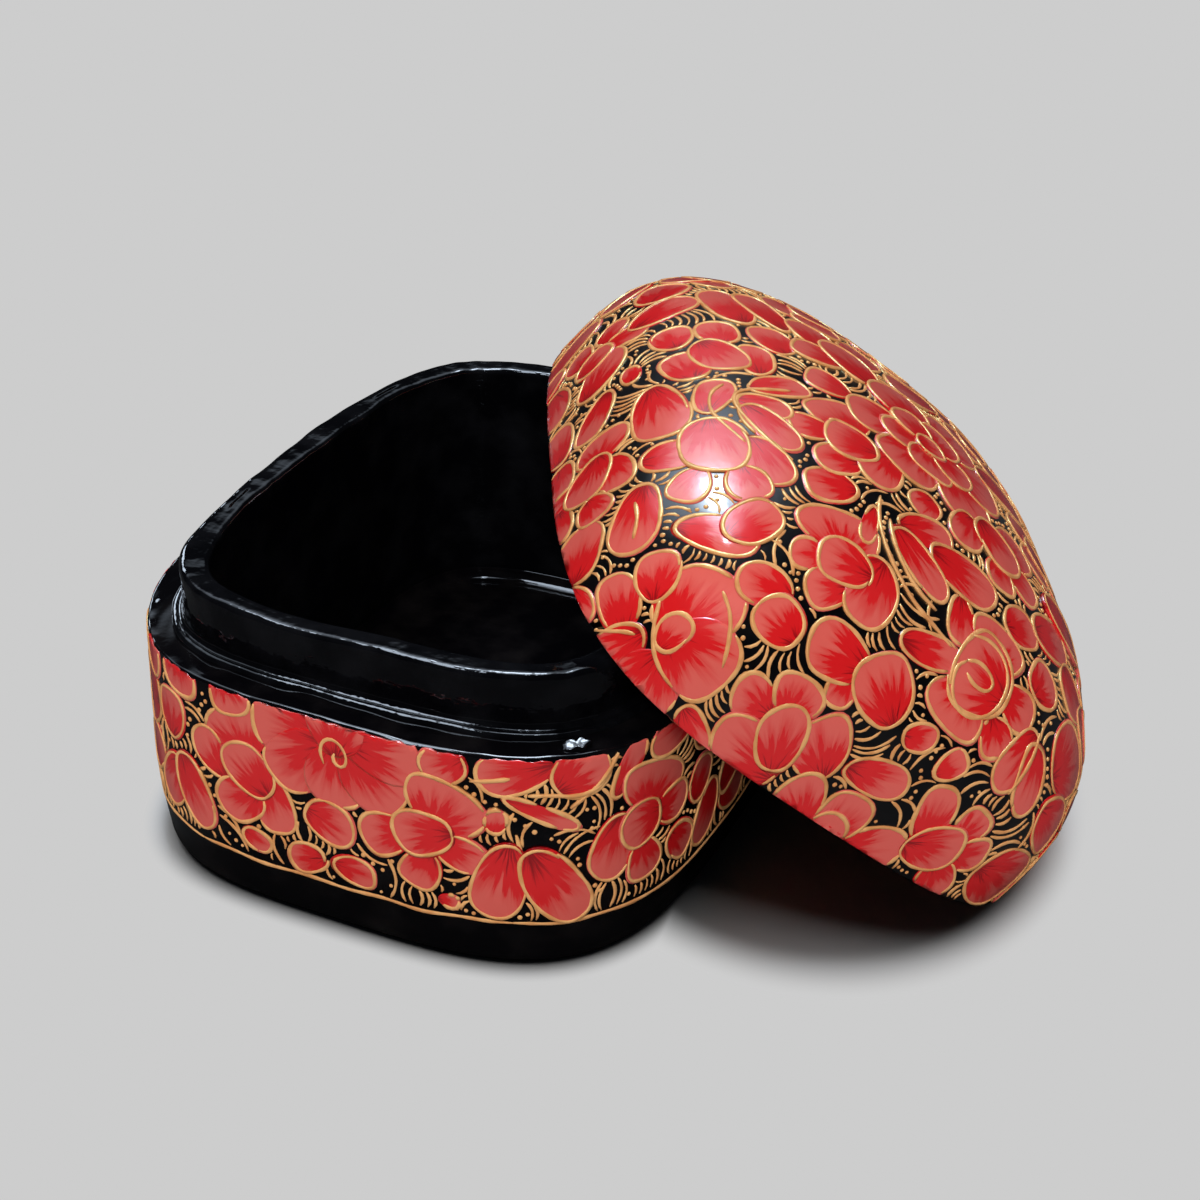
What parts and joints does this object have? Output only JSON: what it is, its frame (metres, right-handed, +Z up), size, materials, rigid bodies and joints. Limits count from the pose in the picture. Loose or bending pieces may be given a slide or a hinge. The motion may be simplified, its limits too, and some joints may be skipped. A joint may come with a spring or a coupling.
{
  "type": "papier mache box",
  "caption": "Small lacquered papier mache box with rounded rectangular plan, glued inner liner that forms a lip, and a domed lid leant on the base.",
  "frame": {"origin": "centre of the flat underside of the base, on the table", "axes": "+Z up from the table, +Y along the long way of the base's plan, +X across it. The lid leans on the +X side of the base, and the picture looks from the -Y side."},
  "size_m": [0.1105, 0.1058, 0.0575],
  "materials": {
    "painted_base": "moulded paper pulp, painted with red petals and gold line on black, under gloss lacquer",
    "black_lacquer": "pasted board under black gloss lacquer",
    "painted_lid": "moulded paper pulp, painted with red petals and gold line on black, under gloss lacquer"
  },
  "bodies": {
    "base": {"base_shell": "painted_base", "inner_liner": "black_lacquer"},
    "lid": {"lid_shell": "painted_lid"}
  },
  "joints": [
    {"name": "lid_lift", "type": "slide", "parent": "base", "child": "lid", "axis": [0, 0, 1], "range_m": [0, 0.08]}
  ]
}
